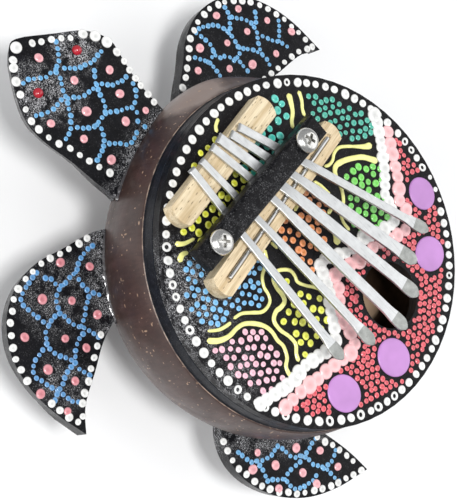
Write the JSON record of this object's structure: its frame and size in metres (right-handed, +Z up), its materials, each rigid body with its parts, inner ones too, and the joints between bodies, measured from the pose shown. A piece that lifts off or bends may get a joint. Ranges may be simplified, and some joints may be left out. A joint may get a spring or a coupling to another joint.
{
  "type": "mbira thumb piano",
  "caption": "Turtle-shaped thumb piano: steel tines clamped over bridges on a painted round soundboard, a coconut-shell resonator, a carved head and flippers.",
  "frame": {"origin": "centre of the flat foot sanded under the coconut shell", "axes": "+Z up through the soundboard; +Y towards the turtle's head; +X towards the turtle's right-hand side"},
  "size_m": [0.176, 0.197, 0.0909],
  "materials": {
    "coconut": "polished and lacquered coconut shell, dark reddish brown with tan flecks",
    "painted_board": "black paint under satin varnish, covered with raised coloured dots",
    "painted_limb": "glossy black paint with raised blue, pink and white dots",
    "eye_paint": "glossy red drop of acrylic paint",
    "pale_wood": "unfinished pale softwood",
    "hardwood": "unfinished hardwood, hidden under the board",
    "painted_bar": "black paint, slightly rubbed at the edges",
    "rod_steel": "drawn steel wire",
    "screw_steel": "zinc-plated steel",
    "tine_steel": "flattened spring steel, filed bright"
  },
  "bodies": {
    "frame": {"coconut_shell": "coconut", "soundboard": "painted_board", "screw_block": "hardwood", "head": "painted_limb", "eye_right": "eye_paint", "eye_left": "eye_paint", "flipper_front_right": "painted_limb", "flipper_front_left": "painted_limb", "flipper_hind_right": "painted_limb", "flipper_hind_left": "painted_limb", "back_bridge": "pale_wood", "front_bridge": "pale_wood", "bridge_rod": "rod_steel", "pressure_bar": "painted_bar", "screw_left": "screw_steel", "screw_right": "screw_steel", "tine_1_root": "tine_steel", "tine_2_root": "tine_steel", "tine_3_root": "tine_steel", "tine_4_root": "tine_steel", "tine_5_root": "tine_steel", "tine_6_root": "tine_steel"},
    "key_1": {"tine_1_key": "tine_steel"},
    "key_2": {"tine_2_key": "tine_steel"},
    "key_3": {"tine_3_key": "tine_steel"},
    "key_4": {"tine_4_key": "tine_steel"},
    "key_5": {"tine_5_key": "tine_steel"},
    "key_6": {"tine_6_key": "tine_steel"}
  },
  "joints": [
    {"name": "tine_1_flex", "type": "hinge", "parent": "frame", "child": "key_1", "pos_m": [0.01776, 0.02064, 0.0824], "axis": [0.9817, 0.1904, 0], "range_deg": [-3, 4], "stiffness_Nm_per_rad": 0.5},
    {"name": "tine_2_flex", "type": "hinge", "parent": "frame", "child": "key_2", "pos_m": [0.01111, 0.02114, 0.0824], "axis": [0.9976, 0.069, 0], "range_deg": [-3, 4], "stiffness_Nm_per_rad": 0.5},
    {"name": "tine_3_flex", "type": "hinge", "parent": "frame", "child": "key_3", "pos_m": [0.00511, 0.02159, 0.0824], "axis": [1, 0.0036, 0], "range_deg": [-3, 4], "stiffness_Nm_per_rad": 0.5},
    {"name": "tine_4_flex", "type": "hinge", "parent": "frame", "child": "key_4", "pos_m": [-0.0012, 0.02207, 0.0824], "axis": [0.9949, -0.1004, 0], "range_deg": [-3, 4], "stiffness_Nm_per_rad": 0.5},
    {"name": "tine_5_flex", "type": "hinge", "parent": "frame", "child": "key_5", "pos_m": [-0.01093, 0.0228, 0.0824], "axis": [0.9863, -0.1651, 0], "range_deg": [-3, 4], "stiffness_Nm_per_rad": 0.5},
    {"name": "tine_6_flex", "type": "hinge", "parent": "frame", "child": "key_6", "pos_m": [-0.01935, 0.02343, 0.0824], "axis": [0.9663, -0.2572, 0], "range_deg": [-3, 4], "stiffness_Nm_per_rad": 0.5}
  ]
}
